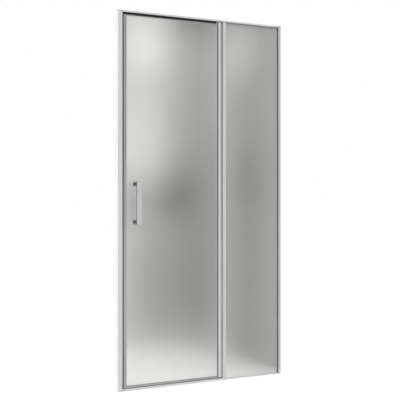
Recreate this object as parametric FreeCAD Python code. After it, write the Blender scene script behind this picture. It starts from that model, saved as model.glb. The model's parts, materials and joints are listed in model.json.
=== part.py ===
import FreeCAD, Part
import math
import os

# Framed shower door for a recess: a pivot door on the left and an in-line fixed panel on the right.
# Millimetres. X runs from the left wall to the right wall, the outside is -Y, the tray is Z = 0.
# The origin is midway between the walls, on the tray, in the middle of the glass.

# Overall size
WIDTH = 1000.0
HEIGHT = 1950.0
AXIS_FROM_WALL = 608.0
GLASS_THICKNESS = 6.0
PROFILE_REACH = 12.0
EDGE_ROUND = 0.8

# Clearances
SEAT_CLEARANCE = 0.1
SLIDE_CLEARANCE = 0.3
RUNNING_CLEARANCE = 0.05
PRESS_CLEARANCE = 0.02
SOFT_GAP = 0.3

# Wall profiles, and the profiles that slide into them for adjustment
WALL_SHEET = 1.5
WALL_FLANGE = 12.5
WALL_SCREW_ROOM = 3.0
WALL_HOLE_RADIUS = 2.6
WALL_HOLE_MARGIN = 100.0
WALL_HOLE_INNER_SPACING = 600.0
PROFILE_SHEET = 1.6
STRIKE_SHOWN = 12.8
CHANNEL_SHOWN = 2.1
CAP_THICKNESS = 1.5
CAP_PLUG_DEPTH = 6.0

# Adjusting screws on the inner side of the wall profiles
ADJUST_INSET = 8.0
ADJUST_MARGIN = 200.0
ADJUST_PER_SIDE = 3
ADJUST_SCREW_LENGTH = 8.0
ADJUST_HEAD_RADIUS = 3.2
ADJUST_HEAD_HEIGHT = 2.0
COVER_CAP_WALL = 1.2

# Top rail and threshold
RAIL_LIP = 9.0
RAIL_SHEET = 1.8
THRESHOLD_HEIGHT = 12.0
THRESHOLD_SHEET = 1.6
THRESHOLD_ROUND = 5.0
THRESHOLD_PAST_POST = 2.5

# Frame screws and the ports that they run in
SCREW_RADIUS = 1.45
SCREW_LENGTH = 16.0
SCREW_HEAD_RADIUS = 2.3
SCREW_HEAD_HEIGHT = 1.8
PORT_SIZE = 4.6
POST_SCREW_BITE = 20.0
BLOCK_SCREW_BITE = 4.0
BLOCK_SCREW_SPACING = 22.0
CROSS_LENGTH = 2.8
CROSS_WIDTH = 0.7
CROSS_DEPTH = 1.1

# Glazing
GASKET_WALL = 1.5
GASKET_WEB = 1.2
GASKET_LIP = 1.5
TOP_GASKET_SHOWN = 3.2
BOTTOM_CHANNEL_HEIGHT = 4.5
BOTTOM_CHANNEL_SHEET = 1.5
BOTTOM_GASKET_WALL = 2.4
BOTTOM_GASKET_LIP = 0.6
CHANNEL_SLOT_DEPTH = 8.3
FIXED_WEDGE_WIDTH = 3.4
DOOR_WEDGE_WIDTH = 4.2
WEDGE_TIP = 1.0
WEDGE_SETBACK = 1.0

# Centre post
POST_GAP = 5.0
POST_SOLID = 8.7
POST_SLOT_DEPTH = 10.0
POST_PORT_INSET = 4.5
POST_SEAL_WIDTH = 3.0
POST_SEAL_DEPTH = 2.0
POST_SEAL_Y = -3.0
POST_GROOVE_WIDTH = 1.2
POST_GROOVE_DEPTH = 0.8

# Door leaf
DOOR_TOP_GAP = 10.0
DOOR_BOTTOM_GAP = 6.0
NOSE_RADIUS = 10.0
HINGE_SLOT_DEPTH = 5.2
HINGE_BORE_WALL = 1.0
HINGE_TOP_GAP = 3.5

# Pivots
PIN_RADIUS = 3.0
PIN_REACH = 24.0
BUSH_RADIUS = 4.4
BUSH_LENGTH = 22.0
BUSH_FLANGE_RADIUS = 9.0
BUSH_FLANGE = 2.0
WASHER_THICKNESS = 2.0
BOSS_PROUD = 0.2
THRUST_GAP = 0.3
PIVOT_BLOCK_LENGTH = 28.0
UPPER_BLOCK_RECESS = 1.0
COLLAR_RADIUS = 9.5

# Magnetic seal at the free edge
EDGE_GAP = 2.0
MAGNET_WIDTH = 8.9
MAGNET_THICKNESS = 5.0
STRIKE_MAGNET_THICKNESS = 3.0
MAGNET_GAP = 0.4
SEAL_WALL = 1.2
CLIP_LEG = 14.1
CLIP_WALL = 1.5

# Seals over and under the door
STOP_OVERLAP = 2.0
STOP_BLADE = 2.0
BOTTOM_SEAL_GAP = 1.2
BOTTOM_SEAL_COVER = 6.0
DRIP_REACH = 4.4
DRIP_THICKNESS = 0.9
DRIP_CLEARANCE = 0.4

# Handle on the outside, held by screws from the inside
HANDLE_INSET = 65.0
HANDLE_HEIGHT = 962.5
HANDLE_SPAN = 196.0
BAR_LENGTH = 228.0
BAR_WIDTH = 30.0
BAR_THICKNESS = 6.0
BAR_ROUND = 1.5
BAR_STANDOFF = 42.0
HANDLE_POST_RADIUS = 12.0
HANDLE_POST_ROUND = 0.6
SPIGOT_RADIUS = 4.0
SPIGOT_LENGTH = 3.0
HANDLE_WASHER = 1.0
GLASS_HOLE_RADIUS = 6.0
FIXING_RADIUS = 3.0
FIXING_BITE = 14.0
FIXING_HEAD_RADIUS = 8.0
FIXING_HEAD_HEIGHT = 4.0
FIXING_HEAD_ROUND = 2.5
FIXING_SOCKET_RADIUS = 2.3
FIXING_SOCKET_DEPTH = 2.4

# Planes across the depth
HALF_GLASS = GLASS_THICKNESS / 2
HALF_DEPTH = HALF_GLASS + PROFILE_REACH
INNER_HALF = HALF_DEPTH - WALL_SHEET - SLIDE_CLEARANCE
SLOT_HALF = HALF_GLASS + GASKET_WALL
RAIL_HALF_INSIDE = HALF_DEPTH - RAIL_SHEET
PORT_Y = INNER_HALF - PROFILE_SHEET - SCREW_HEAD_RADIUS - SEAT_CLEARANCE
INSERT_HALF = PORT_Y - PORT_SIZE / 2 - SEAT_CLEARANCE
CLIP_OUTER = HALF_GLASS + SEAT_CLEARANCE + CLIP_WALL
STRIKE_LEG_Y = HALF_GLASS + MAGNET_GAP + STRIKE_MAGNET_THICKNESS

# Planes across the width
LEFT_WALL_X = -WIDTH / 2
AXIS_X = LEFT_WALL_X + AXIS_FROM_WALL
STRIKE_BACK_X = LEFT_WALL_X + WALL_SHEET + WALL_SCREW_ROOM
STRIKE_FACE_X = LEFT_WALL_X + WALL_FLANGE + STRIKE_SHOWN
CHANNEL_BACK_X = -STRIKE_BACK_X
CHANNEL_FACE_X = -LEFT_WALL_X - WALL_FLANGE - CHANNEL_SHOWN
CHANNEL_SLOT_X = CHANNEL_FACE_X + CHANNEL_SLOT_DEPTH
CHAMBER_LEFT_X = STRIKE_FACE_X + EDGE_GAP
CHAMBER_RIGHT_X = CHAMBER_LEFT_X + MAGNET_WIDTH + 2 * SEAL_WALL
STRIKE_LEG_X = CHAMBER_RIGHT_X - SEAL_WALL
CLIP_END_X = CHAMBER_RIGHT_X + CLIP_LEG
HINGE_SLOT_X = AXIS_X - BUSH_RADIUS - HINGE_BORE_WALL
HINGE_LEFT_X = HINGE_SLOT_X - HINGE_SLOT_DEPTH
DOOR_GLASS_LEFT_X = CHAMBER_RIGHT_X + SEAT_CLEARANCE
DOOR_GLASS_RIGHT_X = HINGE_SLOT_X - GASKET_WEB
POST_LEFT_X = AXIS_X + NOSE_RADIUS + POST_GAP
POST_SLOT_X = POST_LEFT_X + POST_SOLID
POST_RIGHT_X = POST_SLOT_X + POST_SLOT_DEPTH
POST_PORT_X = POST_LEFT_X + POST_PORT_INSET
THRESHOLD_RIGHT_X = POST_RIGHT_X + THRESHOLD_PAST_POST
HANDLE_X = DOOR_GLASS_LEFT_X + HANDLE_INSET

# Levels
PROFILE_TOP_Z = HEIGHT - CAP_THICKNESS
RAIL_LIP_Z = HEIGHT - RAIL_LIP
RAIL_WEB_Z = HEIGHT - RAIL_SHEET
RAIL_PORT_Z = RAIL_WEB_Z - PORT_SIZE / 2
RAIL_INSERT_Z = RAIL_WEB_Z - PORT_SIZE - SEAT_CLEARANCE
THRESHOLD_PORT_Z = THRESHOLD_HEIGHT / 2
SUNK_HEAD_Z = SCREW_HEAD_HEIGHT + SLIDE_CLEARANCE
DOOR_TOP_Z = RAIL_LIP_Z - DOOR_TOP_GAP
DOOR_BOTTOM_Z = THRESHOLD_HEIGHT + DOOR_BOTTOM_GAP
SEAL_BOTTOM_Z = THRESHOLD_HEIGHT + BOTTOM_SEAL_GAP
SEAL_TOP_Z = DOOR_BOTTOM_Z + BOTTOM_SEAL_COVER
BOSS_TOP_Z = THRESHOLD_HEIGHT + BOSS_PROUD
WASHER_TOP_Z = BOSS_TOP_Z + WASHER_THICKNESS
HINGE_BOTTOM_Z = WASHER_TOP_Z + THRUST_GAP + BUSH_FLANGE
HINGE_TOP_Z = RAIL_LIP_Z - HINGE_TOP_GAP
UPPER_BLOCK_Z = RAIL_LIP_Z + UPPER_BLOCK_RECESS
UPPER_COLLAR_Z = HINGE_TOP_Z + BUSH_FLANGE + THRUST_GAP
TOP_GASKET_Z = RAIL_LIP_Z - TOP_GASKET_SHOWN
BOTTOM_GASKET_Z = BOTTOM_CHANNEL_HEIGHT + BOTTOM_GASKET_LIP
FIXED_TOP_Z = RAIL_INSERT_Z - GASKET_WEB
FIXED_BOTTOM_Z = BOTTOM_CHANNEL_SHEET + GASKET_WEB
BOTTOM_CHANNEL_HALF = HALF_GLASS + BOTTOM_GASKET_WALL + BOTTOM_CHANNEL_SHEET
BAR_BACK_Y = HALF_GLASS + BAR_STANDOFF
WASHER_FACE_Y = HALF_GLASS + HANDLE_WASHER

FRONT_AND_BACK = (-1, 1)
OVERCUT = 1.0


def rectangle(u0, u1, v0, v1):
    """Flat section with square corners."""
    corners = [(u0, v0), (u1, v0), (u1, v1), (u0, v1), (u0, v0)]
    return Part.Face(Part.makePolygon([FreeCAD.Vector(u, v, 0) for u, v in corners]))


def polygon(points):
    """Flat section through the given points."""
    loop = points + points[:1]
    return Part.Face(Part.makePolygon([FreeCAD.Vector(u, v, 0) for u, v in loop]))


def disc(u, v, radius):
    """Flat round section."""
    circle = Part.makeCircle(radius, FreeCAD.Vector(u, v, 0))
    return Part.Face(Part.Wire(circle))


def rounded_rectangle(u0, u1, v0, v1, radius):
    """Flat section with equal round corners."""
    r = radius
    bend = r * (1 - math.cos(math.pi / 4))
    corners = [
        ((u1 - r, v0), (u1 - bend, v0 + bend), (u1, v0 + r)),
        ((u1, v1 - r), (u1 - bend, v1 - bend), (u1 - r, v1)),
        ((u0 + r, v1), (u0 + bend, v1 - bend), (u0, v1 - r)),
        ((u0, v0 + r), (u0 + bend, v0 + bend), (u0 + r, v0)),
    ]
    edges = []
    last_end = FreeCAD.Vector(u0 + r, v0, 0)
    for corner in corners:
        start, middle, end = [FreeCAD.Vector(u, v, 0) for u, v in corner]
        edges.append(Part.LineSegment(last_end, start).toShape())
        edges.append(Part.Arc(start, middle, end).toShape())
        last_end = end
    return Part.Face(Part.Wire(edges))


def upright(section, z0, z1):
    """Extrudes a section drawn in X, Y up the Z axis."""
    solid = section.Faces[0].extrude(FreeCAD.Vector(0, 0, z1 - z0))
    solid.translate(FreeCAD.Vector(0, 0, z0))
    return solid


def lengthwise(section, x0, x1):
    """Extrudes a section drawn in Y, Z along the X axis."""
    solid = section.Faces[0].extrude(FreeCAD.Vector(0, 0, x1 - x0))
    solid.rotate(FreeCAD.Vector(0, 0, 0), FreeCAD.Vector(1, 1, 1), 120)
    solid.translate(FreeCAD.Vector(x0, 0, 0))
    return solid


def box(x0, x1, y0, y1, z0, z1):
    return upright(rectangle(x0, x1, y0, y1), z0, z1)


def rod_x(y, z, radius, x0, x1):
    return Part.makeCylinder(radius, x1 - x0, FreeCAD.Vector(x0, y, z), FreeCAD.Vector(1, 0, 0))


def rod_y(x, z, radius, y0, y1):
    return Part.makeCylinder(radius, y1 - y0, FreeCAD.Vector(x, y0, z), FreeCAD.Vector(0, 1, 0))


def rod_z(x, y, radius, z0, z1):
    return Part.makeCylinder(radius, z1 - z0, FreeCAD.Vector(x, y, z0), FreeCAD.Vector(0, 0, 1))


def cut_all(shape, tools):
    for tool in tools:
        shape = shape.cut(tool)
    return shape


def join_all(shapes):
    whole = shapes[0]
    for shape in shapes[1:]:
        whole = whole.fuse(shape)
    return whole.removeSplitter()


def mirrored_in_width(shape):
    return shape.mirror(FreeCAD.Vector(0, 0, 0), FreeCAD.Vector(1, 0, 0))


def mirrored_in_depth(shape):
    return shape.mirror(FreeCAD.Vector(0, 0, 0), FreeCAD.Vector(0, 1, 0))


def group(solids):
    return Part.makeCompound(solids)


def adjusting_levels():
    """Heights of the adjusting screws, evenly spaced between their margins."""
    step = (HEIGHT - 2 * ADJUST_MARGIN) / (ADJUST_PER_SIDE - 1)
    return [ADJUST_MARGIN + step * i for i in range(ADJUST_PER_SIDE)]


def wall_hole_levels():
    """Heights of the wall screw holes: an outer pair and an inner pair about mid-height."""
    half_spacings = (HEIGHT / 2 - WALL_HOLE_MARGIN, WALL_HOLE_INNER_SPACING / 2)
    return [HEIGHT / 2 + sign * half for half in half_spacings for sign in (-1, 1)]


def adjusting_holes(radius):
    """Drillings for the left side's adjusting screws, through the sheet on the inner side of the shower."""
    x = LEFT_WALL_X + ADJUST_INSET
    y0 = INNER_HALF - PROFILE_SHEET - OVERCUT
    return [rod_y(x, z, radius, y0, HALF_DEPTH + OVERCUT) for z in adjusting_levels()]


def corner_drillings(x0, x1, z):
    """Front and back clearance holes for the screws that join a rail to an upright."""
    radius = SCREW_RADIUS + SLIDE_CLEARANCE
    return [rod_x(side * PORT_Y, z, radius, x0, x1) for side in FRONT_AND_BACK]


def left_wall_profile():
    mouth_x = LEFT_WALL_X + WALL_FLANGE
    outline = rounded_rectangle(LEFT_WALL_X, mouth_x, -HALF_DEPTH, HALF_DEPTH, EDGE_ROUND)
    inside_half = HALF_DEPTH - WALL_SHEET
    inside = rectangle(LEFT_WALL_X + WALL_SHEET, mouth_x + OVERCUT, -inside_half, inside_half)
    profile = upright(outline.cut(inside), 0, PROFILE_TOP_Z)
    x0 = LEFT_WALL_X - OVERCUT
    x1 = LEFT_WALL_X + WALL_SHEET + OVERCUT
    holes = [rod_x(0, z, WALL_HOLE_RADIUS, x0, x1) for z in wall_hole_levels()]
    return cut_all(profile, holes + adjusting_holes(SCREW_RADIUS + SLIDE_CLEARANCE))


def right_wall_profile():
    return mirrored_in_width(left_wall_profile())


def strike_profile():
    """Closed box in the left wall profile, with a hollow leg behind the door's free edge."""
    outline = rounded_rectangle(STRIKE_BACK_X, STRIKE_FACE_X, -INNER_HALF, INNER_HALF, EDGE_ROUND)
    hollow_half = INNER_HALF - PROFILE_SHEET
    front_sheet_x = STRIKE_FACE_X - PROFILE_SHEET
    hollow = rectangle(STRIKE_BACK_X + PROFILE_SHEET, front_sheet_x, -hollow_half, hollow_half)
    body = upright(outline.cut(hollow), 0, PROFILE_TOP_Z)
    leg_outline = rectangle(front_sheet_x, STRIKE_LEG_X, STRIKE_LEG_Y, INNER_HALF)
    leg_end_x = STRIKE_LEG_X - PROFILE_SHEET
    leg_hollow = rectangle(STRIKE_FACE_X, leg_end_x, STRIKE_LEG_Y + PROFILE_SHEET, hollow_half)
    leg = upright(leg_outline.cut(leg_hollow), THRESHOLD_HEIGHT + SOFT_GAP, RAIL_LIP_Z - SOFT_GAP)
    whole = join_all([body, leg])
    x0 = front_sheet_x - OVERCUT
    x1 = STRIKE_FACE_X + OVERCUT
    drillings = corner_drillings(x0, x1, RAIL_PORT_Z) + corner_drillings(x0, x1, THRESHOLD_PORT_Z)
    return cut_all(whole, drillings + adjusting_holes(SCREW_RADIUS + RUNNING_CLEARANCE))


def strike_magnet_strip():
    """Strip on the strike's leg that faces the magnet in the door's seal."""
    x0 = STRIKE_LEG_X - MAGNET_WIDTH
    x1 = STRIKE_LEG_X - SOFT_GAP
    y0 = HALF_GLASS + MAGNET_GAP
    return box(x0, x1, y0, STRIKE_LEG_Y, SEAL_BOTTOM_Z, DOOR_TOP_Z)


def right_glass_channel():
    """Box in the right wall profile, open towards the fixed glass."""
    outline = rounded_rectangle(CHANNEL_FACE_X, CHANNEL_BACK_X, -INNER_HALF, INNER_HALF, EDGE_ROUND)
    section = outline.cut(rectangle(CHANNEL_FACE_X - OVERCUT, CHANNEL_SLOT_X, -SLOT_HALF, SLOT_HALF))
    near = SLOT_HALF + PROFILE_SHEET
    far = INNER_HALF - PROFILE_SHEET
    front_sheet_x = CHANNEL_FACE_X + PROFILE_SHEET
    for side in FRONT_AND_BACK:
        y0, y1 = sorted((side * near, side * far))
        section = section.cut(rectangle(front_sheet_x, CHANNEL_BACK_X - PROFILE_SHEET, y0, y1))
    body = upright(section, 0, PROFILE_TOP_Z)
    drillings = corner_drillings(CHANNEL_FACE_X - OVERCUT, front_sheet_x + OVERCUT, RAIL_PORT_Z)
    adjusting = [mirrored_in_width(hole) for hole in adjusting_holes(SCREW_RADIUS + RUNNING_CLEARANCE)]
    return cut_all(body, drillings + adjusting)


def top_cap(x_wall, x_face, plug_rows):
    """Cover on the open top of a wall profile, with plugs that stand in the profile inside it.
    The plugs stop short of the corner screws' heads."""
    side = math.copysign(1, x_wall)
    x0, x1 = sorted((x_wall, x_face))
    plate = upright(rounded_rectangle(x0, x1, -HALF_DEPTH, HALF_DEPTH, EDGE_ROUND), PROFILE_TOP_Z, HEIGHT)
    start = abs(STRIKE_BACK_X) - PROFILE_SHEET - SEAT_CLEARANCE
    end = abs(x_face) + PROFILE_SHEET + SCREW_HEAD_HEIGHT + SOFT_GAP
    u0, u1 = sorted((side * start, side * end))
    plugs = [box(u0, u1, y0, y1, PROFILE_TOP_Z - CAP_PLUG_DEPTH, PROFILE_TOP_Z) for y0, y1 in plug_rows]
    return join_all([plate] + plugs)


def left_top_cap():
    half = INNER_HALF - PROFILE_SHEET - SEAT_CLEARANCE
    return top_cap(LEFT_WALL_X, STRIKE_FACE_X, [(-half, half)])


def right_top_cap():
    near = SLOT_HALF + PROFILE_SHEET + SEAT_CLEARANCE
    far = INNER_HALF - PROFILE_SHEET - SEAT_CLEARANCE
    return top_cap(-LEFT_WALL_X, CHANNEL_FACE_X, [(-far, -near), (near, far)])


def adjusting_screws():
    """Pan-head screws that hold each sliding profile at its adjusted width."""
    x = LEFT_WALL_X + ADJUST_INSET
    screws = []
    for z in adjusting_levels():
        shank = rod_y(x, z, SCREW_RADIUS, HALF_DEPTH - ADJUST_SCREW_LENGTH, HALF_DEPTH)
        head = rod_y(x, z, ADJUST_HEAD_RADIUS, HALF_DEPTH, HALF_DEPTH + ADJUST_HEAD_HEIGHT)
        screw = join_all([shank, head])
        screws += [screw, mirrored_in_width(screw)]
    return group(screws)


def screw_cover_caps():
    """Snap-on caps over the adjusting screws' heads."""
    x = LEFT_WALL_X + ADJUST_INSET
    inner_radius = ADJUST_HEAD_RADIUS + SEAT_CLEARANCE
    inner_y = HALF_DEPTH + ADJUST_HEAD_HEIGHT + SEAT_CLEARANCE
    radius = inner_radius + COVER_CAP_WALL
    caps = []
    for z in adjusting_levels():
        body = rod_y(x, z, radius, HALF_DEPTH, inner_y + COVER_CAP_WALL)
        rim = [edge for edge in body.Edges if edge.BoundBox.YMin > inner_y]
        body = body.makeFillet(COVER_CAP_WALL / 2, rim)
        cap = body.cut(rod_y(x, z, inner_radius, HALF_DEPTH - OVERCUT, inner_y))
        caps += [cap, mirrored_in_width(cap)]
    return group(caps)


def countersink(x, y):
    """Countersunk clearance hole through the web of the top rail and what hangs below it."""
    shank = SCREW_RADIUS + SLIDE_CLEARANCE
    head = SCREW_HEAD_RADIUS + SLIDE_CLEARANCE
    top = FreeCAD.Vector(x, y, HEIGHT - SCREW_HEAD_HEIGHT)
    cone = Part.makeCone(shank, head, SCREW_HEAD_HEIGHT, top)
    return rod_z(x, y, shank, RAIL_INSERT_Z, HEIGHT).fuse(cone)


def countersunk_screw(x, y, tip_z):
    """Screw driven down through the top rail."""
    neck = FreeCAD.Vector(x, y, HEIGHT - SCREW_HEAD_HEIGHT)
    head = Part.makeCone(SCREW_RADIUS, SCREW_HEAD_RADIUS, SCREW_HEAD_HEIGHT, neck)
    screw = join_all([rod_z(x, y, SCREW_RADIUS, tip_z, HEIGHT - SCREW_HEAD_HEIGHT), head])
    long, thin = CROSS_LENGTH / 2, CROSS_WIDTH / 2
    floor_z = HEIGHT - CROSS_DEPTH
    slots = [box(x - u, x + u, y - v, y + v, floor_z, HEIGHT) for u, v in ((long, thin), (thin, long))]
    return cut_all(screw, slots)


def block_screw_places():
    return [AXIS_X + sign * BLOCK_SCREW_SPACING / 2 for sign in (-1, 1)]


def screw_port(side, z0, z1, x0, x1):
    """Square rib along a rail, which its end screws run into."""
    return box(x0, x1, side * PORT_Y - PORT_SIZE / 2, side * PORT_Y + PORT_SIZE / 2, z0, z1)


def top_rail():
    """Channel that opens downwards, with two screw ports under its web."""
    section = rounded_rectangle(-HALF_DEPTH, HALF_DEPTH, RAIL_LIP_Z, HEIGHT, EDGE_ROUND)
    inside = rectangle(-RAIL_HALF_INSIDE, RAIL_HALF_INSIDE, RAIL_LIP_Z - OVERCUT, RAIL_WEB_Z)
    channel = lengthwise(section.cut(inside), STRIKE_FACE_X, CHANNEL_FACE_X)
    radius = SCREW_RADIUS + RUNNING_CLEARANCE
    port_z0 = RAIL_WEB_Z - PORT_SIZE
    port_z1 = RAIL_WEB_Z + RAIL_SHEET / 2
    ports = []
    holes = [countersink(x, 0) for x in block_screw_places()]
    for side in FRONT_AND_BACK:
        y = side * PORT_Y
        ports.append(screw_port(side, port_z0, port_z1, STRIKE_FACE_X, CHANNEL_FACE_X))
        holes.append(rod_x(y, RAIL_PORT_Z, radius, STRIKE_FACE_X, CHANNEL_FACE_X))
        holes.append(countersink(POST_PORT_X, y))
    return cut_all(join_all([channel] + ports), holes)


def threshold_section():
    """Hollow sill section, rounded above and square at the tray."""
    outline = rounded_rectangle(-HALF_DEPTH, HALF_DEPTH, -THRESHOLD_ROUND, THRESHOLD_HEIGHT, THRESHOLD_ROUND)
    below = rectangle(-HALF_DEPTH - OVERCUT, HALF_DEPTH + OVERCUT, -THRESHOLD_ROUND - OVERCUT, 0)
    inside_half = HALF_DEPTH - THRESHOLD_SHEET
    inside_round = THRESHOLD_ROUND - THRESHOLD_SHEET
    inside_low = THRESHOLD_SHEET - inside_round
    inside_top = THRESHOLD_HEIGHT - THRESHOLD_SHEET
    hollow = rounded_rectangle(-inside_half, inside_half, inside_low, inside_top, inside_round)
    tray_side = rectangle(-inside_half, inside_half, inside_low - OVERCUT, THRESHOLD_SHEET)
    return outline.cut(below).cut(hollow.cut(tray_side))


def threshold_rail():
    """Hollow sill under the door and the post, notched at its end for the fixed glass."""
    sill = lengthwise(threshold_section(), STRIKE_FACE_X, THRESHOLD_RIGHT_X)
    z0 = THRESHOLD_SHEET / 2
    z1 = THRESHOLD_HEIGHT - THRESHOLD_SHEET / 2
    ports = [screw_port(side, z0, z1, STRIKE_FACE_X, THRESHOLD_RIGHT_X) for side in FRONT_AND_BACK]
    cuts = [
        box(POST_SLOT_X, THRESHOLD_RIGHT_X + OVERCUT, -SLOT_HALF, SLOT_HALF, THRESHOLD_SHEET, HEIGHT),
        rod_z(AXIS_X, 0, INSERT_HALF, THRESHOLD_PORT_Z, THRESHOLD_HEIGHT + OVERCUT),
    ]
    radius = SCREW_RADIUS + RUNNING_CLEARANCE
    for side in FRONT_AND_BACK:
        y = side * PORT_Y
        cuts.append(rod_x(y, THRESHOLD_PORT_Z, radius, STRIKE_FACE_X, THRESHOLD_RIGHT_X))
        cuts.append(rod_z(POST_PORT_X, y, radius, 0, THRESHOLD_HEIGHT))
        cuts.append(rod_z(POST_PORT_X, y, SCREW_HEAD_RADIUS, 0, SUNK_HEAD_Z))
    return cut_all(join_all([sill] + ports), cuts)


def fixed_bottom_channel():
    section = rounded_rectangle(
        -BOTTOM_CHANNEL_HALF, BOTTOM_CHANNEL_HALF, 0, BOTTOM_CHANNEL_HEIGHT, BOTTOM_CHANNEL_SHEET / 3
    )
    inside_half = BOTTOM_CHANNEL_HALF - BOTTOM_CHANNEL_SHEET
    inside = rectangle(-inside_half, inside_half, BOTTOM_CHANNEL_SHEET, BOTTOM_CHANNEL_HEIGHT + OVERCUT)
    return lengthwise(section.cut(inside), THRESHOLD_RIGHT_X, CHANNEL_FACE_X)


def centre_post():
    """Upright between the door and the fixed panel: screw ports at the left, glass slot at the right.
    A fine groove runs down the middle of its front and back."""
    section = rounded_rectangle(POST_LEFT_X, POST_RIGHT_X, -HALF_DEPTH, HALF_DEPTH, EDGE_ROUND)
    section = section.cut(rectangle(POST_SLOT_X, POST_RIGHT_X + OVERCUT, -SLOT_HALF, SLOT_HALF))
    near = SLOT_HALF + PROFILE_SHEET
    far = HALF_DEPTH - PROFILE_SHEET
    for side in FRONT_AND_BACK:
        y0, y1 = sorted((side * near, side * far))
        section = section.cut(rectangle(POST_SLOT_X, POST_RIGHT_X - PROFILE_SHEET, y0, y1))
        section = section.cut(disc(POST_PORT_X, side * PORT_Y, SCREW_RADIUS + RUNNING_CLEARANCE))
        y0, y1 = sorted((side * (HALF_DEPTH - POST_GROOVE_DEPTH), side * (HALF_DEPTH + OVERCUT)))
        section = section.cut(rectangle(POST_SLOT_X - POST_GROOVE_WIDTH, POST_SLOT_X, y0, y1))
    seal_groove = rectangle(
        POST_LEFT_X - OVERCUT, POST_LEFT_X + POST_SEAL_DEPTH, POST_SEAL_Y, POST_SEAL_Y + POST_SEAL_WIDTH
    )
    return upright(section.cut(seal_groove), THRESHOLD_HEIGHT, TOP_GASKET_Z)


def post_seal():
    """Lip in the post's groove that reaches almost to the tip of the door's round nose."""
    x0 = AXIS_X + NOSE_RADIUS + SOFT_GAP
    x1 = POST_LEFT_X + POST_SEAL_DEPTH
    y1 = POST_SEAL_Y + POST_SEAL_WIDTH
    return box(x0, x1, POST_SEAL_Y, y1, THRESHOLD_HEIGHT, TOP_GASKET_Z)


def fixed_glass():
    x0 = POST_SLOT_X + GASKET_WEB
    x1 = CHANNEL_SLOT_X - GASKET_WEB
    return box(x0, x1, -HALF_GLASS, HALF_GLASS, FIXED_BOTTOM_Z, FIXED_TOP_Z)


def upright_gasket(slot_x, mouth_x, z0, z1):
    """U section in a glass slot: its web lies on the slot's floor, its front leg ends at the slot's mouth
    and its back leg stands proud of it."""
    direction = math.copysign(1, mouth_x - slot_x)
    end_x = mouth_x + direction * GASKET_LIP
    web = rectangle(*sorted((slot_x, slot_x + direction * GASKET_WEB)), -SLOT_HALF, SLOT_HALF)
    front_leg = rectangle(*sorted((slot_x, mouth_x)), -SLOT_HALF, -HALF_GLASS)
    back_leg = rectangle(*sorted((slot_x, end_x)), HALF_GLASS, SLOT_HALF)
    return join_all([upright(section, z0, z1) for section in (web, front_leg, back_leg)])


def glazing_wedge(mouth_x, reach, front_half, z0, z1):
    """Dark wedge between the front of the glass and the side of a profile; reach is its width on the glass,
    with a minus sign towards the left."""
    outer_y = WEDGE_SETBACK - front_half
    points = [
        (mouth_x, -HALF_GLASS),
        (mouth_x + reach, -HALF_GLASS),
        (mouth_x + math.copysign(WEDGE_TIP, reach), outer_y),
        (mouth_x, outer_y),
    ]
    return upright(polygon(points), z0, z1)


def fixed_gasket_left():
    return upright_gasket(POST_SLOT_X, POST_RIGHT_X, THRESHOLD_HEIGHT, TOP_GASKET_Z)


def fixed_gasket_right():
    return upright_gasket(CHANNEL_SLOT_X, CHANNEL_FACE_X, BOTTOM_GASKET_Z, RAIL_LIP_Z)


def fixed_glazing_wedges():
    """One wedge at the post and one at the right wall."""
    left = glazing_wedge(POST_RIGHT_X, FIXED_WEDGE_WIDTH, HALF_DEPTH, THRESHOLD_HEIGHT, RAIL_LIP_Z)
    right = glazing_wedge(CHANNEL_FACE_X, -FIXED_WEDGE_WIDTH, INNER_HALF, BOTTOM_GASKET_Z, RAIL_LIP_Z)
    return group([left, right])


def fixed_gasket_top():
    """Strip along the rail that the fixed glass presses into, level with the rail's lips.
    Over the post's end it is deeper and shows below them."""
    half = RAIL_HALF_INSIDE
    x0 = max(POST_LEFT_X, AXIS_X + PIVOT_BLOCK_LENGTH / 2 + SOFT_GAP)
    over_post = box(x0, POST_RIGHT_X, -half, half, TOP_GASKET_Z, RAIL_INSERT_Z)
    over_glass = box(POST_RIGHT_X, CHANNEL_FACE_X, -half, half, RAIL_LIP_Z, RAIL_INSERT_Z)
    glass_x0 = POST_SLOT_X + GASKET_WEB
    slot = box(glass_x0, CHANNEL_FACE_X, -HALF_GLASS, HALF_GLASS, TOP_GASKET_Z - OVERCUT, FIXED_TOP_Z)
    radius = SCREW_RADIUS + SLIDE_CLEARANCE
    holes = [rod_z(POST_PORT_X, side * PORT_Y, radius, 0, HEIGHT) for side in FRONT_AND_BACK]
    return cut_all(join_all([over_post, over_glass]), [slot] + holes)


def fixed_gasket_bottom():
    half = HALF_GLASS + BOTTOM_GASKET_WALL
    section = rectangle(-half, half, BOTTOM_CHANNEL_SHEET, BOTTOM_GASKET_Z)
    section = section.cut(rectangle(-HALF_GLASS, HALF_GLASS, FIXED_BOTTOM_Z, BOTTOM_GASKET_Z + OVERCUT))
    return lengthwise(section, THRESHOLD_RIGHT_X, CHANNEL_FACE_X)


def top_stop_seal():
    """Dark blade behind the door's top edge, on a flange that lies against the rail's inner lip.
    It ends clear of the pivot block and of the hinge profile's corner, which swings past it."""
    y0 = CLIP_OUTER + SOFT_GAP
    corner_sweep = math.hypot(AXIS_X - HINGE_LEFT_X, NOSE_RADIUS)
    corner_reach = math.sqrt(corner_sweep ** 2 - y0 ** 2)
    x0 = STRIKE_LEG_X + SOFT_GAP
    x1 = AXIS_X - max(PIVOT_BLOCK_LENGTH / 2, corner_reach) - SOFT_GAP
    blade = box(x0, x1, y0, y0 + STOP_BLADE, DOOR_TOP_Z - STOP_OVERLAP, RAIL_INSERT_Z)
    flange = box(x0, x1, y0, RAIL_HALF_INSIDE, RAIL_INSERT_Z - STOP_BLADE, RAIL_INSERT_Z)
    return join_all([blade, flange])


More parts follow.
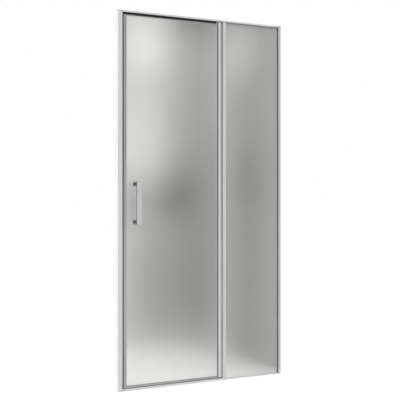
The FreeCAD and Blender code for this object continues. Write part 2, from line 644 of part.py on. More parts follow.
def corner_screws():
    """Screws along X from inside the uprights into the ports of the rail and the threshold."""
    screws = []
    for side in FRONT_AND_BACK:
        y = side * PORT_Y
        for z in (RAIL_PORT_Z, THRESHOLD_PORT_Z):
            seat = STRIKE_FACE_X - PROFILE_SHEET
            shank = rod_x(y, z, SCREW_RADIUS, seat, seat + SCREW_LENGTH)
            screws.append(join_all([shank, rod_x(y, z, SCREW_HEAD_RADIUS, seat - SCREW_HEAD_HEIGHT, seat)]))
        seat = CHANNEL_FACE_X + PROFILE_SHEET
        shank = rod_x(y, RAIL_PORT_Z, SCREW_RADIUS, seat - SCREW_LENGTH, seat)
        head = rod_x(y, RAIL_PORT_Z, SCREW_HEAD_RADIUS, seat, seat + SCREW_HEAD_HEIGHT)
        screws.append(join_all([shank, head]))
    return group(screws)


def post_screws():
    """Screws into the post's ports, down through the rail and up through the threshold."""
    screws = []
    for side in FRONT_AND_BACK:
        y = side * PORT_Y
        screws.append(countersunk_screw(POST_PORT_X, y, RAIL_LIP_Z - POST_SCREW_BITE))
        shank = rod_z(POST_PORT_X, y, SCREW_RADIUS, SUNK_HEAD_Z, THRESHOLD_HEIGHT + POST_SCREW_BITE)
        head_radius = SCREW_HEAD_RADIUS - SEAT_CLEARANCE
        head = rod_z(POST_PORT_X, y, head_radius, SUNK_HEAD_Z - SCREW_HEAD_HEIGHT, SUNK_HEAD_Z)
        screws.append(join_all([shank, head]))
    return group(screws)


def pivot_block_screws():
    return group([countersunk_screw(x, 0, RAIL_WEB_Z - BLOCK_SCREW_BITE) for x in block_screw_places()])


def pivot_block_body(z0, z1):
    """Plain block about the swing axis, which fits between the two screw ports."""
    half_length = PIVOT_BLOCK_LENGTH / 2
    return box(AXIS_X - half_length, AXIS_X + half_length, -INSERT_HALF, INSERT_HALF, z0, z1)


def upper_pivot_block():
    """Block between the rail's screw ports that holds the upper pin, with a collar over the door's nose."""
    body = pivot_block_body(UPPER_BLOCK_Z, RAIL_WEB_Z)
    block = join_all([body, rod_z(AXIS_X, 0, COLLAR_RADIUS, UPPER_COLLAR_Z, RAIL_INSERT_Z)])
    pin_bore = rod_z(AXIS_X, 0, PIN_RADIUS + PRESS_CLEARANCE, UPPER_COLLAR_Z - OVERCUT, RAIL_WEB_Z + OVERCUT)
    radius = SCREW_RADIUS + RUNNING_CLEARANCE
    tip_z = RAIL_WEB_Z - BLOCK_SCREW_BITE - SEAT_CLEARANCE
    drillings = [rod_z(x, 0, radius, tip_z, RAIL_WEB_Z + OVERCUT) for x in block_screw_places()]
    return cut_all(block, [pin_bore] + drillings)


def lower_pivot_block():
    """Block inside the threshold that holds the lower pin; its boss comes up through the sill."""
    block = pivot_block_body(THRESHOLD_SHEET, THRESHOLD_HEIGHT - THRESHOLD_SHEET)
    boss = rod_z(AXIS_X, 0, INSERT_HALF - SEAT_CLEARANCE, THRESHOLD_PORT_Z, BOSS_TOP_Z)
    bore = rod_z(AXIS_X, 0, PIN_RADIUS + PRESS_CLEARANCE, 0, BOSS_TOP_Z + OVERCUT)
    return join_all([block, boss]).cut(bore)


def upper_pivot_pin():
    return rod_z(AXIS_X, 0, PIN_RADIUS, HINGE_TOP_Z - PIN_REACH, RAIL_WEB_Z)


def lower_pivot_pin():
    return rod_z(AXIS_X, 0, PIN_RADIUS, THRESHOLD_SHEET, HINGE_BOTTOM_Z + PIN_REACH)


def thrust_washer():
    """Low-friction washer under the door's lower bush; it carries the leaf's weight."""
    outside = rod_z(AXIS_X, 0, COLLAR_RADIUS, BOSS_TOP_Z, WASHER_TOP_Z)
    return outside.cut(rod_z(AXIS_X, 0, PIN_RADIUS + SEAT_CLEARANCE, 0, HEIGHT))


def hinge_bush(end_z, inwards):
    """Flanged bush in one end of the hinge profile; inwards is +1 at the foot and -1 at the top."""
    sleeve_z = sorted((end_z, end_z + inwards * BUSH_LENGTH))
    flange_z = sorted((end_z, end_z - inwards * BUSH_FLANGE))
    sleeve = rod_z(AXIS_X, 0, BUSH_RADIUS - PRESS_CLEARANCE, *sleeve_z)
    flange = rod_z(AXIS_X, 0, BUSH_FLANGE_RADIUS, *flange_z)
    return join_all([sleeve, flange]).cut(rod_z(AXIS_X, 0, PIN_RADIUS + RUNNING_CLEARANCE, 0, HEIGHT))


def upper_hinge_bush():
    return hinge_bush(HINGE_TOP_Z, -1)


def lower_hinge_bush():
    return hinge_bush(HINGE_BOTTOM_Z, 1)


def nosed_outline():
    """Outline of the hinge profile: square at the glass, half round about the swing axis."""
    corner = [FreeCAD.Vector(HINGE_LEFT_X, side * NOSE_RADIUS, 0) for side in FRONT_AND_BACK]
    tangent = [FreeCAD.Vector(AXIS_X, side * NOSE_RADIUS, 0) for side in FRONT_AND_BACK]
    tip = FreeCAD.Vector(AXIS_X + NOSE_RADIUS, 0, 0)
    edges = [
        Part.LineSegment(corner[0], tangent[0]).toShape(),
        Part.Arc(tangent[0], tip, tangent[1]).toShape(),
        Part.LineSegment(tangent[1], corner[1]).toShape(),
        Part.LineSegment(corner[1], corner[0]).toShape(),
    ]
    return Part.Face(Part.Wire(edges))


def door_hinge_profile():
    """Hollow extrusion with a glass slot at the left and a bored round nose at the right."""
    section = nosed_outline()
    section = section.cut(rectangle(HINGE_LEFT_X - OVERCUT, HINGE_SLOT_X, -SLOT_HALF, SLOT_HALF))
    section = section.cut(disc(AXIS_X, 0, BUSH_RADIUS))
    near = SLOT_HALF + PROFILE_SHEET
    far = NOSE_RADIUS - PROFILE_SHEET
    for side in FRONT_AND_BACK:
        y0, y1 = sorted((side * near, side * far))
        section = section.cut(rectangle(HINGE_LEFT_X + PROFILE_SHEET, AXIS_X - PROFILE_SHEET, y0, y1))
    nose_room = disc(AXIS_X, 0, far).cut(disc(AXIS_X, 0, BUSH_RADIUS + PROFILE_SHEET))
    right_half = rectangle(AXIS_X, AXIS_X + NOSE_RADIUS, -NOSE_RADIUS, NOSE_RADIUS)
    section = section.cut(nose_room.common(right_half))
    return upright(section, HINGE_BOTTOM_Z, HINGE_TOP_Z)


def door_hinge_gasket():
    return upright_gasket(HINGE_SLOT_X, HINGE_LEFT_X, HINGE_BOTTOM_Z, HINGE_TOP_Z)


def door_glazing_wedge():
    return glazing_wedge(HINGE_LEFT_X, -DOOR_WEDGE_WIDTH, NOSE_RADIUS, HINGE_BOTTOM_Z, HINGE_TOP_Z)


def handle_levels():
    return [HANDLE_HEIGHT + sign * HANDLE_SPAN / 2 for sign in (-1, 1)]


def door_glass():
    pane = box(DOOR_GLASS_LEFT_X, DOOR_GLASS_RIGHT_X, -HALF_GLASS, HALF_GLASS, DOOR_BOTTOM_Z, DOOR_TOP_Z)
    y0 = -HALF_GLASS - OVERCUT
    y1 = HALF_GLASS + OVERCUT
    return cut_all(pane, [rod_y(HANDLE_X, z, GLASS_HOLE_RADIUS, y0, y1) for z in handle_levels()])


def door_magnetic_seal():
    """Clip on the glass's free edge, with an open-fronted chamber for the magnet beside it."""
    gap_half = HALF_GLASS + SEAT_CLEARANCE
    wall_x = CHAMBER_RIGHT_X - SEAL_WALL
    sections = [
        rectangle(CHAMBER_LEFT_X, CHAMBER_LEFT_X + SEAL_WALL, -CLIP_OUTER, HALF_GLASS),
        rectangle(CHAMBER_LEFT_X, CHAMBER_RIGHT_X, HALF_GLASS - SEAL_WALL, HALF_GLASS),
        rectangle(wall_x, CHAMBER_RIGHT_X, -CLIP_OUTER, CLIP_OUTER),
        rectangle(wall_x, CLIP_END_X, -CLIP_OUTER, -gap_half),
        rectangle(wall_x, CLIP_END_X, gap_half, CLIP_OUTER),
    ]
    return join_all([upright(section, SEAL_BOTTOM_Z, DOOR_TOP_Z) for section in sections])


def door_magnet_strip():
    x0 = CHAMBER_LEFT_X + SEAL_WALL
    y1 = HALF_GLASS - SEAL_WALL
    return box(x0, x0 + MAGNET_WIDTH, y1 - MAGNET_THICKNESS, y1, SEAL_BOTTOM_Z, DOOR_TOP_Z)


def door_bottom_seal():
    """Clip under the glass with a drip blade that leads water back over the tray."""
    gap_half = HALF_GLASS + SEAT_CLEARANCE
    clip = rectangle(-CLIP_OUTER, CLIP_OUTER, SEAL_BOTTOM_Z, SEAL_TOP_Z)
    clip = clip.cut(rectangle(-gap_half, gap_half, DOOR_BOTTOM_Z, SEAL_TOP_Z + OVERCUT))
    tip_y = CLIP_OUTER + DRIP_REACH
    tip_z = THRESHOLD_HEIGHT + DRIP_CLEARANCE
    blade = polygon([
        (CLIP_OUTER, SEAL_BOTTOM_Z + DRIP_THICKNESS),
        (0, SEAL_BOTTOM_Z),
        (tip_y - DRIP_THICKNESS, tip_z),
        (tip_y, tip_z + DRIP_THICKNESS / 2),
    ])
    x0 = CLIP_END_X + SOFT_GAP
    x1 = HINGE_LEFT_X - max(GASKET_LIP, DOOR_WEDGE_WIDTH) - SOFT_GAP
    return join_all([lengthwise(section, x0, x1) for section in (clip, blade)])


def handle_bar():
    """Flat bar with fully rounded ends and softened outer edges."""
    half = BAR_WIDTH / 2
    z0 = HANDLE_HEIGHT - BAR_LENGTH / 2
    z1 = HANDLE_HEIGHT + BAR_LENGTH / 2
    front_y = -BAR_BACK_Y - BAR_THICKNESS
    plate = box(HANDLE_X - half, HANDLE_X + half, front_y, -BAR_BACK_Y, z0 + half, z1 - half)
    ends = [rod_y(HANDLE_X, z, half, front_y, -BAR_BACK_Y) for z in (z0 + half, z1 - half)]
    bar = join_all([plate] + ends)
    front_edges = [edge for edge in bar.Edges if edge.BoundBox.YMax < front_y + BAR_ROUND / 2]
    bar = bar.makeFillet(BAR_ROUND, front_edges)
    depth = SPIGOT_LENGTH + SEAT_CLEARANCE
    sockets = [
        rod_y(HANDLE_X, z, SPIGOT_RADIUS + PRESS_CLEARANCE, -BAR_BACK_Y - depth, -BAR_BACK_Y + OVERCUT)
        for z in handle_levels()
    ]
    return cut_all(bar, sockets)


def handle_post(z):
    """Round stand-off with a spigot in the bar and a threaded bore towards the glass."""
    body = rod_y(HANDLE_X, z, HANDLE_POST_RADIUS, -BAR_BACK_Y, -WASHER_FACE_Y)
    rims = [edge for edge in body.Edges if edge.BoundBox.YLength < HANDLE_POST_ROUND]
    body = body.makeFillet(HANDLE_POST_ROUND, rims)
    spigot = rod_y(HANDLE_X, z, SPIGOT_RADIUS, -BAR_BACK_Y - SPIGOT_LENGTH, -BAR_BACK_Y + OVERCUT)
    bore_end = -WASHER_FACE_Y - FIXING_BITE - SEAT_CLEARANCE
    bore = rod_y(HANDLE_X, z, FIXING_RADIUS + PRESS_CLEARANCE, bore_end, -WASHER_FACE_Y + OVERCUT)
    return join_all([body, spigot]).cut(bore)


def handle_lower_post():
    return handle_post(handle_levels()[0])


def handle_upper_post():
    return handle_post(handle_levels()[1])


def fixing_screw(z):
    """Round-headed screw from the inside, through the glass into a handle post, with a six-sided socket."""
    head_end = WASHER_FACE_Y + FIXING_HEAD_HEIGHT
    head = rod_y(HANDLE_X, z, FIXING_HEAD_RADIUS, WASHER_FACE_Y, head_end)
    rim = [edge for edge in head.Edges if edge.BoundBox.YMin > head_end - FIXING_HEAD_ROUND]
    head = head.makeFillet(FIXING_HEAD_ROUND, rim)
    shank = rod_y(HANDLE_X, z, FIXING_RADIUS, -WASHER_FACE_Y - FIXING_BITE, WASHER_FACE_Y + OVERCUT)
    angles = [math.radians(60 * i) for i in range(6)]
    corners = [(FIXING_SOCKET_RADIUS * math.cos(a), FIXING_SOCKET_RADIUS * math.sin(a)) for a in angles]
    socket = upright(polygon(corners), 0, FIXING_SOCKET_DEPTH + OVERCUT)
    socket.rotate(FreeCAD.Vector(0, 0, 0), FreeCAD.Vector(1, 0, 0), -90)
    socket.translate(FreeCAD.Vector(HANDLE_X, head_end - FIXING_SOCKET_DEPTH, z))
    return join_all([head, shank]).cut(socket)


def handle_fixing_screws():
    return group([fixing_screw(z) for z in handle_levels()])


def fixing_clearance(z):
    """Room for a fixing screw's shank through the glass."""
    return rod_y(HANDLE_X, z, FIXING_RADIUS + SEAT_CLEARANCE, -HALF_DEPTH, HALF_DEPTH)


def handle_sleeves():
    """Plastic sleeves that keep the fixing screws off the glass."""
    sleeves = []
    for z in handle_levels():
        outside = rod_y(HANDLE_X, z, GLASS_HOLE_RADIUS - SEAT_CLEARANCE, -HALF_GLASS, HALF_GLASS)
        sleeves.append(outside.cut(fixing_clearance(z)))
    return group(sleeves)


def handle_washers():
    """Soft washers on both faces of the glass, under the handle posts and the screw heads."""
    washers = []
    for z in handle_levels():
        outside = rod_y(HANDLE_X, z, HANDLE_POST_RADIUS, -WASHER_FACE_Y, -HALF_GLASS)
        washer = outside.cut(fixing_clearance(z))
        washers += [washer, mirrored_in_depth(washer)]
    return group(washers)


PIECES = [
    left_wall_profile, right_wall_profile, strike_profile, strike_magnet_strip, right_glass_channel,
    left_top_cap, right_top_cap, adjusting_screws, screw_cover_caps, top_rail, threshold_rail,
    fixed_bottom_channel, centre_post, post_seal, fixed_glass, fixed_gasket_left, fixed_gasket_right,
    fixed_gasket_top, fixed_gasket_bottom, fixed_glazing_wedges,
    top_stop_seal, corner_screws, post_screws, pivot_block_screws,
    upper_pivot_block, lower_pivot_block, upper_pivot_pin, lower_pivot_pin, thrust_washer,
    upper_hinge_bush, lower_hinge_bush, door_hinge_profile, door_hinge_gasket, door_glazing_wedge, door_glass,
    door_magnetic_seal, door_magnet_strip, door_bottom_seal,
    handle_bar, handle_lower_post, handle_upper_post, handle_fixing_screws, handle_sleeves, handle_washers,
]

os.makedirs("parts", exist_ok=True)
for piece in PIECES:
    shape = piece()
    shape.exportStep("parts/" + piece.__name__ + ".step")
    print(piece.__name__, len(shape.Solids), "solids,", round(shape.Volume, 1), "mm3, valid", shape.isValid())
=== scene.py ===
import json
import math

import bpy
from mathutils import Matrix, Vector


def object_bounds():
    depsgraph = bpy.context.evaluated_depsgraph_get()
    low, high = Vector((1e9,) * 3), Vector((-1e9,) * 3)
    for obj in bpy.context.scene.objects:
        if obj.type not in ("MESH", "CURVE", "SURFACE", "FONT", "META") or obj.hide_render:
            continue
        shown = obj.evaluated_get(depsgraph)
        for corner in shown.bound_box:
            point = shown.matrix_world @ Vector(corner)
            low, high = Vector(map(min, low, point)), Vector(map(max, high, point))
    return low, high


# Looks of a framed shower front: satin glass in anodised aluminium, soft seals, a polished handle.
# Metres, in the same frame as the solids: X along the front, -Y outside, Z up.

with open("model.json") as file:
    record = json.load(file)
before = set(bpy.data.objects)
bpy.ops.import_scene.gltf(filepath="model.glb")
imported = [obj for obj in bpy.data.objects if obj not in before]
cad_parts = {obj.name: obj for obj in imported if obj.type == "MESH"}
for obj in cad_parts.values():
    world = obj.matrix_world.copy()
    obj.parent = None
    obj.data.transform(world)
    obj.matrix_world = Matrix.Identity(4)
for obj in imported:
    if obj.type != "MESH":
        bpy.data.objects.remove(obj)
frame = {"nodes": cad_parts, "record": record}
cad_low, cad_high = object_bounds()

X, Y, Z = 0, 1, 2
MICRON = 0.000001
WHITE = (1.0, 1.0, 1.0, 1.0)

# Camera, from a perspective fit to the photograph's edges
CAMERA_PLACE = (-2.5002, -4.3934, 1.0188)
CAMERA_TILT = math.radians(90.0)
CAMERA_YAW = math.radians(-29.526)
CAMERA_LENS = 84.76
CAMERA_SENSOR = 36.0
CAMERA_SHIFT_Y = -0.0197

# Ground and even light
FLOOR_HALF = 14.0
FLOOR_DROP = 0.0006
FLOOR_GLOW = 0.92
FLOOR_ALBEDO = 0.12
AMBIENT = 0.7

# Soft panels: place, aim, side, watts
LIGHTS = {
    "key": ((-3.0, -3.4, 3.2), (-0.1, 0.0, 1.1), 2.6, 70.0),
    "bounce": ((-0.4, -1.0, 0.05), (-0.2, 0.0, 0.3), 1.0, 8.0),
}

# Cards that show only in reflections, as lines on the plan: a white one beside the left profile, with a
# foot that lies between it and a line at the front, and a grey one beside the right profile
CARD_HEIGHT = 2.3
WHITE_CARD_LINE = ((-0.85, 0.27), (-0.535, 0.415))
WHITE_CARD_FRONT = ((-0.85, 0.0), (-0.502, 0.0))
WHITE_CARD_GLOW = 1.45
GREY_CARD_LINE = ((0.52, -0.1), (0.82, -0.34))
GREY_CARD_GLOW = 0.72

# Recess behind the front, which only the glass shows: walls, tray and a lintel above the opening
WALL_GAP = 0.05
LEFT_WALL = cad_low.x - WALL_GAP
RIGHT_WALL = cad_high.x + WALL_GAP
BACK_WALL = 1.3
NEAR_EDGE = 0.02
RECESS_HEIGHT = 2.6
LINTEL_PLANE = 0.08
LINTEL_OVERLAP = 0.008
LINTEL_BOTTOM = cad_high.z - LINTEL_OVERLAP
WALL_GREY = 0.29
TRAY_GREY = 0.62
LINTEL_GREY = 0.3
# Soft patches of light and shade there: centre, reach along X, Y and Z, strength. Seven of those on the walls
# are rounded from a fit to the photograph's tones, and the rest are set one by one.
WIDE = 3.0
TALL = 4.0
WALL_PATCHES = (
    # daylight on the back wall, high at the right and broad at the left
    ((0.33, BACK_WALL, 2.1), (0.32, WIDE, 1.75), 0.7),
    ((-0.3, BACK_WALL, 1.0), (0.8, WIDE, 2.9), 0.9),
    ((0.36, BACK_WALL, 2.02), (0.24, 0.3, 0.26), 0.17),
    # it falls in two pools with a shade between them
    ((0.32, BACK_WALL, 2.0), (0.3, WIDE, 0.18), 0.2),
    ((0.28, BACK_WALL, 1.72), (0.35, WIDE, 0.17), -0.16),
    ((0.28, BACK_WALL, 1.26), (0.25, WIDE, 0.36), 0.23),
    # its glow on the right wall
    ((RIGHT_WALL, 0.5, 1.9), (WIDE, 0.3, 0.35), 0.26),
    ((RIGHT_WALL, 0.0, 0.5), (WIDE, 0.42, TALL), 0.15),
    ((RIGHT_WALL, 0.68, 1.0), (WIDE, 0.15, TALL), 0.25),
    ((RIGHT_WALL, 0.82, 0.05), (0.3, 0.25, 0.13), 0.17),
    # shade in the far right corner, round hand height and under the ceiling
    ((RIGHT_WALL, 1.22, 1.0), (WIDE, 0.16, 0.27), -0.38),
    ((0.46, BACK_WALL, 1.0), (0.2, 0.2, 0.25), -0.14),
    ((RIGHT_WALL, 1.0, 1.2), (WIDE, 0.2, 3.5), -0.07),
    ((0.58, BACK_WALL, 2.3), (0.15, WIDE, 0.25), -0.55),
    ((RIGHT_WALL, 0.8, 2.2), (0.3, 1.4, 0.45), -0.14),
    # painted shade low on the back wall, low in the corner and on the right wall
    ((0.3, BACK_WALL, 0.5), (0.15, 0.3, 0.45), -0.08),
    ((RIGHT_WALL, 1.05, 0.4), (0.3, 0.25, 0.3), -0.1),
    ((RIGHT_WALL, 0.4, 1.1), (0.3, 0.3, 0.3), -0.07),
)
TRAY_PATCHES = (
    # daylight that fades towards the right and the back
    ((-0.15, 0.4, 0.0), (0.95, WIDE, 1.0), 0.46),
)
LINTEL_PATCHES = (
    # daylight at its left end
    ((-0.5, 0.1, 1.95), (0.5, 1.0, 1.0), 0.12),
)

# A noise keeps near its middle, so a blend runs between these two of its values
BLEND_START = 0.3
BLEND_END = 0.7
NOISE_ROUGHNESS = 0.55
GRAIN_DETAIL = 3.0
MOTTLE_DETAIL = 2.0


def even(value):
    """The same value along X, Y and Z, or in red, green and blue."""
    return (value, value, value)


def drawn(across, along, axis):
    """Features per metre of a grain that is drawn out along one axis."""
    scale = list(even(across))
    scale[axis] = along
    return scale


def add_node(tree, kind, **values):
    """New shader node, with the given attributes set on it."""
    node = tree.nodes.new(kind)
    for name, value in values.items():
        setattr(node, name, value)
    return node


def noise(tree, scale, detail):
    """Noise from 0 to 1 on the object's own coordinates; scale is in features per metre along X, Y and Z."""
    points = add_node(tree, "ShaderNodeTexCoord")
    mapping = add_node(tree, "ShaderNodeMapping")
    mapping.inputs["Scale"].default_value = scale
    texture = add_node(tree, "ShaderNodeTexNoise")
    texture.inputs["Scale"].default_value = 1.0
    texture.inputs["Detail"].default_value = detail
    texture.inputs["Roughness"].default_value = NOISE_ROUGHNESS
    tree.links.new(points.outputs["Object"], mapping.inputs["Vector"])
    tree.links.new(mapping.outputs["Vector"], texture.inputs["Vector"])
    return texture.outputs["Fac"]


def ranged(tree, source, low, high):
    """Maps the blend's span of a noise to the span from low to high."""
    span = add_node(tree, "ShaderNodeMapRange")
    span.inputs["From Min"].default_value = BLEND_START
    span.inputs["From Max"].default_value = BLEND_END
    span.inputs["To Min"].default_value = low
    span.inputs["To Max"].default_value = high
    tree.links.new(source, span.inputs["Value"])
    return span.outputs["Result"]


def tinted(tree, source, dark, light):
    """Blends two colours by a value from 0 to 1."""
    ramp = add_node(tree, "ShaderNodeValToRGB")
    start, end = ramp.color_ramp.elements
    start.position = BLEND_START
    start.color = (*dark, 1.0)
    end.position = BLEND_END
    end.color = (*light, 1.0)
    tree.links.new(source, ramp.inputs["Fac"])
    return ramp.outputs["Color"]


def relief(tree, source, depth):
    """Bump of the given depth in metres."""
    bump = add_node(tree, "ShaderNodeBump")
    bump.inputs["Distance"].default_value = depth
    tree.links.new(source, bump.inputs["Height"])
    return bump.outputs["Normal"]


def new_material(name, metallic):
    """New material, with its node tree and its shader."""
    material = bpy.data.materials.new(name)
    material.use_nodes = True
    tree = material.node_tree
    shader = tree.nodes["Principled BSDF"]
    shader.inputs["Metallic"].default_value = metallic
    return material, tree, shader


def add_grain(tree, shader, grain, rough, depth):
    """Lets the shader's roughness and relief follow a fine noise."""
    fine = noise(tree, grain, GRAIN_DETAIL)
    tree.links.new(ranged(tree, fine, *rough), shader.inputs["Roughness"])
    tree.links.new(relief(tree, fine, depth), shader.inputs["Normal"])


def surface(name, dark, light, rough, grain, mottle, depth, metallic=0.0, transmission=0.0):
    """Material with a fine grain, whose colour varies with a broad mottle."""
    material, tree, shader = new_material(name, metallic)
    shader.inputs["Transmission Weight"].default_value = transmission
    broad = noise(tree, mottle, MOTTLE_DETAIL)
    tree.links.new(tinted(tree, broad, dark, light), shader.inputs["Base Color"])
    add_grain(tree, shader, grain, rough, depth)
    return material


def aluminium(name, axis):
    """Satin anodised extrusion, with fine draw lines along one axis."""
    return surface(
        name, dark=even(0.622), light=even(0.682), rough=(0.27, 0.37), grain=drawn(2600.0, 9.0, axis),
        mottle=drawn(30.0, 2.5, axis), depth=20 * MICRON, metallic=1.0)


def handle_metal():
    """Polished metal with painted shade: faces towards the front and back are light, and its edges are
    painted dark.
    """
    front, shaded_edge = (0.53, 0.53, 0.535), even(0.10)
    material, tree, shader = new_material("handle_metal", metallic=1.0)
    # painted shade: faces turned away from the front and back take the dark edge colour
    facing = add_node(tree, "ShaderNodeSeparateXYZ")
    tree.links.new(add_node(tree, "ShaderNodeTexCoord").outputs["Normal"], facing.inputs["Vector"])
    outward = add_node(tree, "ShaderNodeMath", operation="ABSOLUTE")
    tree.links.new(facing.outputs["Y"], outward.inputs[0])
    tree.links.new(tinted(tree, outward.outputs[0], shaded_edge, front), shader.inputs["Base Color"])
    add_grain(tree, shader, drawn(2400.0, 60.0, Z), rough=(0.10, 0.18), depth=6 * MICRON)
    return material


# Material of each slot in the record
MATERIALS = {
    "aluminium": aluminium("anodised_upright", Z),
    # etched glass, which blurs the light that passes through it
    "satin_glass": surface(
        "satin_glass", dark=(0.803, 0.808, 0.79), light=(0.83, 0.834, 0.814), rough=(0.26, 0.34),
        grain=even(1500.0), mottle=even(6.0), depth=10 * MICRON, transmission=0.94),
    "grey_seal": surface(
        "grey_seal", dark=even(0.37), light=(0.43, 0.43, 0.428), rough=(0.42, 0.58),
        grain=drawn(900.0, 120.0, Z), mottle=drawn(14.0, 5.0, Z), depth=30 * MICRON),
    "clear_seal": surface(
        "clear_seal", dark=(0.52, 0.53, 0.53), light=(0.60, 0.61, 0.61), rough=(0.34, 0.46),
        grain=drawn(900.0, 160.0, Z), mottle=drawn(14.0, 5.0, Z), depth=20 * MICRON),
    "white_seal": surface(
        "white_seal", dark=(0.86, 0.86, 0.855), light=(0.91, 0.91, 0.905), rough=(0.32, 0.44),
        grain=drawn(900.0, 160.0, X), mottle=drawn(14.0, 5.0, X), depth=20 * MICRON),
    "dark_seal": surface(
        "dark_seal", dark=(0.028, 0.028, 0.029), light=(0.044, 0.044, 0.046), rough=(0.5, 0.7),
        grain=drawn(1200.0, 300.0, Z), mottle=drawn(20.0, 8.0, Z), depth=40 * MICRON),
    "wedge_rubber": surface(
        "wedge_rubber", dark=even(0.14), light=even(0.18), rough=(0.5, 0.65),
        grain=drawn(1000.0, 200.0, Z), mottle=drawn(16.0, 6.0, Z), depth=30 * MICRON),
    "magnet": surface(
        "magnet", dark=(0.125, 0.125, 0.128), light=(0.155, 0.155, 0.16), rough=(0.45, 0.6),
        grain=drawn(1000.0, 200.0, Z), mottle=drawn(16.0, 6.0, Z), depth=30 * MICRON),
    "steel": surface(
        "plated_steel", dark=even(0.52), light=(0.62, 0.62, 0.61), rough=(0.22, 0.34),
        grain=even(3000.0), mottle=even(200.0), depth=10 * MICRON, metallic=1.0),
    "bearing_plastic": surface(
        "bearing_plastic", dark=(0.025, 0.025, 0.027), light=(0.036, 0.036, 0.038), rough=(0.4, 0.55),
        grain=even(1500.0), mottle=even(90.0), depth=20 * MICRON),
    "cap_plastic": surface(
        "cap_plastic", dark=(0.46, 0.465, 0.47), light=(0.52, 0.525, 0.53), rough=(0.38, 0.52),
        grain=even(2200.0), mottle=even(60.0), depth=30 * MICRON),
    "handle_metal": handle_metal(),
    "dark_metal": surface(
        "dark_metal", dark=(0.085, 0.085, 0.086), light=(0.11, 0.11, 0.112), rough=(0.16, 0.26),
        grain=drawn(2400.0, 60.0, Y), mottle=even(40.0), depth=6 * MICRON, metallic=1.0),
}
# Extrusions that lie along X, and their material
LYING_PIECES = ("top_rail", "threshold_rail")
LYING_ALUMINIUM = aluminium("anodised_rail", X)


def dress_nodes():
    """Gives every solid the material of its slot, with the draw lines along X where it lies along X."""
    for subpart in frame["record"]["subparts"]:
        node = subpart["node"]
        material = LYING_ALUMINIUM if node in LYING_PIECES else MATERIALS[subpart["material_slot"]]
        mesh = frame["nodes"][node].data
        mesh.materials.clear()
        mesh.materials.append(material)


def seen_white(tree):
    """1 for camera, glossy and transmission rays, so that metal and glass show the white ground too."""
    light_path = add_node(tree, "ShaderNodeLightPath")
    total = light_path.outputs["Is Camera Ray"]
    for name in ("Is Glossy Ray", "Is Transmission Ray"):
        either = add_node(tree, "ShaderNodeMath", operation="MAXIMUM")
        tree.links.new(total, either.inputs[0])
        tree.links.new(light_path.outputs[name], either.inputs[1])
        total = either.outputs[0]
    return total


def make_world():
    """White ground for what the camera, metal and glass see, and a soft even light for the rest."""
    world = bpy.data.worlds.new("studio")
    bpy.context.scene.world = world
    world.use_nodes = True
    tree = world.node_tree
    ambient = tree.nodes["Background"]
    ambient.inputs["Color"].default_value = WHITE
    ambient.inputs["Strength"].default_value = AMBIENT
    ground = add_node(tree, "ShaderNodeBackground")
    ground.inputs["Color"].default_value = WHITE
    mix = add_node(tree, "ShaderNodeMixShader")
    tree.links.new(seen_white(tree), mix.inputs["Fac"])
    tree.links.new(ambient.outputs["Background"], mix.inputs[1])
    tree.links.new(ground.outputs["Background"], mix.inputs[2])
    tree.links.new(mix.outputs["Shader"], tree.nodes["World Output"].inputs["Surface"])


def make_plane(name, corners, material):
    """Flat piece of the stage."""
    mesh = bpy.data.meshes.new(name)
    mesh.from_pydata(corners, [], [tuple(range(len(corners)))])
    mesh.materials.append(material)
    plane = bpy.data.objects.new(name, mesh)
    bpy.context.scene.collection.objects.link(plane)
    return plane


def turn_off(thing, *settings):
    """Sets the named settings of an object to False."""
    for setting in settings:
        setattr(thing, setting, False)


def stage_material(name):
    """New material without a shader, with its node tree and the socket that a shader goes to."""
    material = bpy.data.materials.new(name)
    material.use_nodes = True
    tree = material.node_tree
    tree.nodes.remove(tree.nodes["Principled BSDF"])
    return material, tree, tree.nodes["Material Output"].inputs["Surface"]


def make_floor():
    """Pale floor: mostly its own white, with a diffuse part that takes the object's shadow."""
    material, tree, shown = stage_material("floor")
    diffuse = add_node(tree, "ShaderNodeBsdfDiffuse")
    diffuse.inputs["Color"].default_value = (*even(FLOOR_ALBEDO), 1.0)
    glow_level = add_node(tree, "ShaderNodeMath", operation="MULTIPLY")
    glow_level.inputs[1].default_value = FLOOR_GLOW
    tree.links.new(seen_white(tree), glow_level.inputs[0])
    glow = add_node(tree, "ShaderNodeEmission")
    tree.links.new(glow_level.outputs[0], glow.inputs["Strength"])
    both = add_node(tree, "ShaderNodeAddShader")
    tree.links.new(diffuse.outputs[0], both.inputs[0])
    tree.links.new(glow.outputs[0], both.inputs[1])
    tree.links.new(both.outputs[0], shown)
    h, z = FLOOR_HALF, -FLOOR_DROP
    make_plane("floor", [(-h, -h, z), (h, -h, z), (h, h, z), (-h, h, z)], material)


def soft_patch(tree, points, centre, reach, strength):
    """Light that fades from strength at the centre to nothing at its reach."""
    mapping = add_node(tree, "ShaderNodeMapping")
    mapping.inputs["Location"].default_value = [-c / r for c, r in zip(centre, reach)]
    mapping.inputs["Scale"].default_value = [1.0 / r for r in reach]
    tree.links.new(points, mapping.inputs["Vector"])
    distance = add_node(tree, "ShaderNodeVectorMath", operation="LENGTH")
    tree.links.new(mapping.outputs["Vector"], distance.inputs[0])
    fade = add_node(tree, "ShaderNodeMapRange", interpolation_type="SMOOTHSTEP")
    fade.inputs["To Min"].default_value = strength
    fade.inputs["To Max"].default_value = 0.0
    tree.links.new(distance.outputs["Value"], fade.inputs["Value"])
    return fade.outputs["Result"]


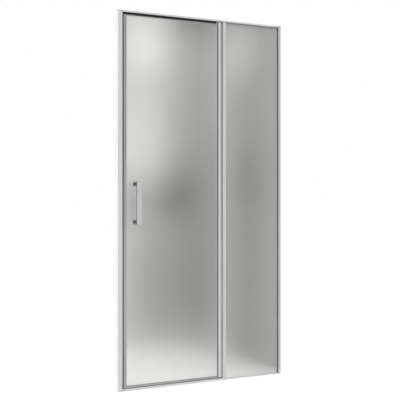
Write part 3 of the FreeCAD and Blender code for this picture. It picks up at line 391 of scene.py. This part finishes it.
def recess_material(name, grey, patches):
    """Glow of an even grey with soft patches on it."""
    material, tree, shown = stage_material(name)
    points = add_node(tree, "ShaderNodeTexCoord").outputs["Object"]
    level = add_node(tree, "ShaderNodeValue")
    level.outputs[0].default_value = grey
    total = level.outputs[0]
    for centre, reach, strength in patches:
        both = add_node(tree, "ShaderNodeMath", operation="ADD")
        tree.links.new(total, both.inputs[0])
        tree.links.new(soft_patch(tree, points, centre, reach, strength), both.inputs[1])
        total = both.outputs[0]
    glow = add_node(tree, "ShaderNodeEmission")
    tree.links.new(total, glow.inputs["Strength"])
    tree.links.new(glow.outputs[0], shown)
    return material


def upright(start, end, top, bottom=0.0):
    """Corners of an upright rectangle on the line between two points of the plan."""
    return [(*start, bottom), (*end, bottom), (*end, top), (*start, top)]


def lying(*points):
    """Corners of a flat on the floor, from its points in the plan."""
    return [(*point, 0.0) for point in points]


def make_recess():
    """Surfaces of the shower recess: seen through the satin glass, and by nothing else."""
    walls = recess_material("recess_walls", WALL_GREY, WALL_PATCHES)
    tray = recess_material("recess_tray", TRAY_GREY, TRAY_PATCHES)
    lintel = recess_material("recess_lintel", LINTEL_GREY, LINTEL_PATCHES)
    near_left, near_right = (LEFT_WALL, NEAR_EDGE), (RIGHT_WALL, NEAR_EDGE)
    back_left, back_right = (LEFT_WALL, BACK_WALL), (RIGHT_WALL, BACK_WALL)
    lintel_left, lintel_right = (LEFT_WALL, LINTEL_PLANE), (RIGHT_WALL, LINTEL_PLANE)
    surfaces = (
        ("recess_left", walls, upright(near_left, back_left, RECESS_HEIGHT)),
        ("recess_back", walls, upright(back_left, back_right, RECESS_HEIGHT)),
        ("recess_right", walls, upright(back_right, near_right, RECESS_HEIGHT)),
        ("recess_tray", tray, lying(near_left, near_right, back_right, back_left)),
        ("recess_lintel", lintel, upright(lintel_left, lintel_right, RECESS_HEIGHT, LINTEL_BOTTOM)),
    )
    for name, material, corners in surfaces:
        plane = make_plane(name, corners, material)
        turn_off(plane, "visible_camera", "visible_diffuse", "visible_glossy", "visible_shadow")


def make_card(name, corners, strength):
    """Card with an even glow that shows only in reflections."""
    material, tree, shown = stage_material(name)
    glow = add_node(tree, "ShaderNodeEmission")
    glow.inputs["Strength"].default_value = strength
    tree.links.new(glow.outputs[0], shown)
    card = make_plane(name, corners, material)
    turn_off(card, "visible_camera", "visible_diffuse", "visible_transmission", "visible_shadow")


def make_cards():
    """The white card with its foot, and the grey card."""
    far, near = WHITE_CARD_LINE
    make_card("side_card", upright(far, near, CARD_HEIGHT), WHITE_CARD_GLOW)
    make_card("side_card_foot", lying(*WHITE_CARD_FRONT, near, far), WHITE_CARD_GLOW)
    make_card("grey_card", upright(*GREY_CARD_LINE, CARD_HEIGHT), GREY_CARD_GLOW)


def add_light(name, place, aim, side, watts):
    """Soft square panel aimed at a point; its own shape shows nowhere, not in metal or through glass."""
    light = bpy.data.lights.new(name, "AREA")
    light.size = side
    light.energy = watts
    panel = bpy.data.objects.new(name, light)
    panel.location = place
    panel.rotation_mode = "QUATERNION"
    panel.rotation_quaternion = (Vector(aim) - Vector(place)).to_track_quat("-Z", "Y")
    turn_off(panel, "visible_camera", "visible_glossy", "visible_transmission")
    bpy.context.scene.collection.objects.link(panel)


def make_camera():
    """The photograph's camera, level and with a small upright shift."""
    camera = bpy.data.cameras.new("camera")
    camera.lens = CAMERA_LENS
    camera.sensor_width = CAMERA_SENSOR
    camera.shift_y = CAMERA_SHIFT_Y
    holder = bpy.data.objects.new("camera", camera)
    holder.location = CAMERA_PLACE
    holder.rotation_euler = (CAMERA_TILT, 0.0, CAMERA_YAW)
    bpy.context.scene.collection.objects.link(holder)
    bpy.context.scene.camera = holder


dress_nodes()
make_world()
make_floor()
make_recess()
make_cards()
for light_name, (place, aim, side, watts) in LIGHTS.items():
    add_light(light_name, place, aim, side, watts)
make_camera()
bpy.context.scene.view_settings.view_transform = "Standard"
